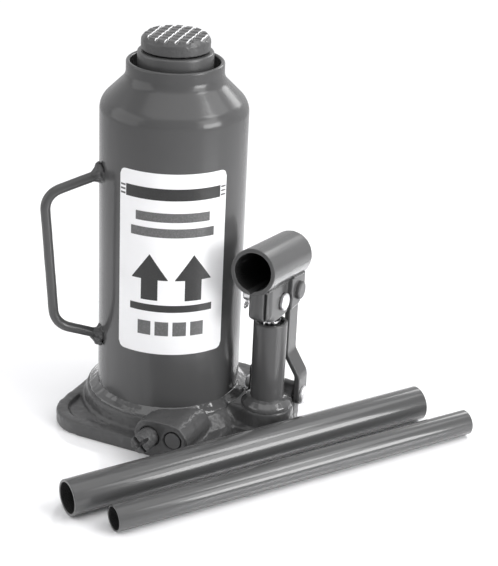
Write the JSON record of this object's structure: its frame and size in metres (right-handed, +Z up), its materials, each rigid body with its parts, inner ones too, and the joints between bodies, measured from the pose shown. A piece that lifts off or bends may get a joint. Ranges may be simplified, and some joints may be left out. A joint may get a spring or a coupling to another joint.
{
  "type": "bottle jack",
  "caption": "Hydraulic bottle jack with a round oil tank, screw-out saddle, linked hand pump, handle socket, release valve, carry handle and two loose handle pipes.",
  "frame": {"origin": "on the floor under the ram's axis, at the middle of the foot plate", "axes": "+Z up along the ram; +X from the tank to the pump; the operator, handle socket and release valve are on the -Y side"},
  "size_m": [0.2414, 0.2132, 0.24],
  "materials": {
    "enamel": "thick gloss grey enamel",
    "pipe_enamel": "gloss grey enamel",
    "dark_steel": "oiled turned steel",
    "bright_steel": "bright plated",
    "copper": "soft copper sheet",
    "bronze": "machined bronze",
    "rubber": "black oil-proof rubber",
    "label_film": "printed white film"
  },
  "bodies": {
    "root": {"base": "enamel", "reservoir_tank": "enamel", "tank_weld_bead": "enamel", "pump_weld_collar": "enamel", "carry_handle": "enamel", "carry_handle_welds": "enamel", "pressure_cylinder": "dark_steel", "cylinder_gasket": "copper", "top_nut": "dark_steel", "nut_o_ring": "rubber", "ram_wiper": "rubber", "pump_cylinder": "enamel", "pump_gasket": "copper", "pump_gland": "rubber", "filler_plug": "rubber", "suction_strainer": "bronze", "outlet_plug": "dark_steel", "gallery_plugs": "dark_steel", "outlet_spring": "dark_steel", "safety_screw": "enamel", "safety_spring": "dark_steel", "label": "label_film", "lower_link_pin": "bright_steel", "lower_split_pin": "bright_steel"},
    "ram": {"ram": "dark_steel", "piston_guide_ring": "bronze", "cup_seal": "rubber", "seal_retaining_ring": "dark_steel"},
    "screw_carrier": {"screw_stop_ring": "dark_steel"},
    "extension_screw": {"extension_screw": "dark_steel", "saddle": "enamel"},
    "link": {"link_strap_left": "enamel", "link_strap_right": "enamel", "link_pin": "dark_steel", "link_split_pin": "bright_steel"},
    "handle_socket": {"handle_socket": "enamel"},
    "plunger": {"pump_plunger": "bright_steel", "plunger_seal": "rubber", "plunger_pin": "bright_steel", "plunger_split_pin": "bright_steel"},
    "release_carrier": {"release_o_ring": "rubber", "release_ball": "bright_steel"},
    "release_stem": {"release_valve_stem": "enamel"},
    "inlet_ball": {"inlet_ball": "bright_steel"},
    "outlet_ball": {"outlet_ball": "bright_steel"},
    "safety_ball": {"safety_ball": "bright_steel"},
    "handle_pipe_large": {"handle_pipe_large": "pipe_enamel"},
    "handle_pipe_small": {"handle_pipe_small": "pipe_enamel"}
  },
  "joints": [
    {"name": "ram_lift", "type": "slide", "parent": "root", "child": "ram", "axis": [0, 0, 1], "range_m": [0, 0.14]},
    {"name": "screw_rise", "type": "slide", "parent": "ram", "child": "screw_carrier", "axis": [0, 0, 1], "range_m": [0, 0.0801]},
    {"name": "screw_turn", "type": "hinge", "parent": "screw_carrier", "child": "extension_screw", "pos_m": [0, 0, 0.235], "axis": [0, 0, 1], "range_deg": [0, 5760]},
    {"name": "link_swing", "type": "hinge", "parent": "root", "child": "link", "pos_m": [0.0675, 0.016, 0.022], "axis": [-1, 0, 0], "range_deg": [-2.5, 1]},
    {"name": "socket_swing", "type": "hinge", "parent": "link", "child": "handle_socket", "pos_m": [0.0675, 0.016, 0.091], "axis": [-1, 0, 0], "range_deg": [-6, 40]},
    {"name": "plunger_slide", "type": "slide", "parent": "root", "child": "plunger", "axis": [0, 0, 1], "range_m": [-0.0016, 0.0106]},
    {"name": "release_travel", "type": "slide", "parent": "root", "child": "release_carrier", "axis": [0, -1, 0], "range_m": [0, 0.00187]},
    {"name": "release_turn", "type": "hinge", "parent": "release_carrier", "child": "release_stem", "pos_m": [0.0195, -0.06, 0.013], "axis": [0, -1, 0], "range_deg": [0, 451]},
    {"name": "inlet_ball_lift", "type": "slide", "parent": "root", "child": "inlet_ball", "axis": [0, 0, 1], "range_m": [0, 0.0012]},
    {"name": "outlet_ball_lift", "type": "slide", "parent": "root", "child": "outlet_ball", "axis": [0, 0, -1], "range_m": [0, 0.0009], "deforming": ["outlet_spring"]},
    {"name": "safety_ball_lift", "type": "slide", "parent": "root", "child": "safety_ball", "axis": [0, -1, 0], "range_m": [0, 0.0008], "deforming": ["safety_spring"]},
    {"name": "large_pipe_lift", "type": "slide", "parent": "root", "child": "handle_pipe_large", "axis": [0, 0, 1], "range_m": [0, 0.07]},
    {"name": "small_pipe_lift", "type": "slide", "parent": "root", "child": "handle_pipe_small", "axis": [0, 0, 1], "range_m": [0, 0.15]}
  ],
  "couplings": [
    {"joint": "screw_rise", "follows": "screw_turn", "m_per_rad": 0.00079577},
    {"joint": "link_swing", "follows": "socket_swing", "ratio": -0.04},
    {"joint": "plunger_slide", "follows": "socket_swing", "m_per_rad": 0.015},
    {"joint": "release_turn", "follows": "release_travel", "rad_per_m": 4188.8}
  ]
}
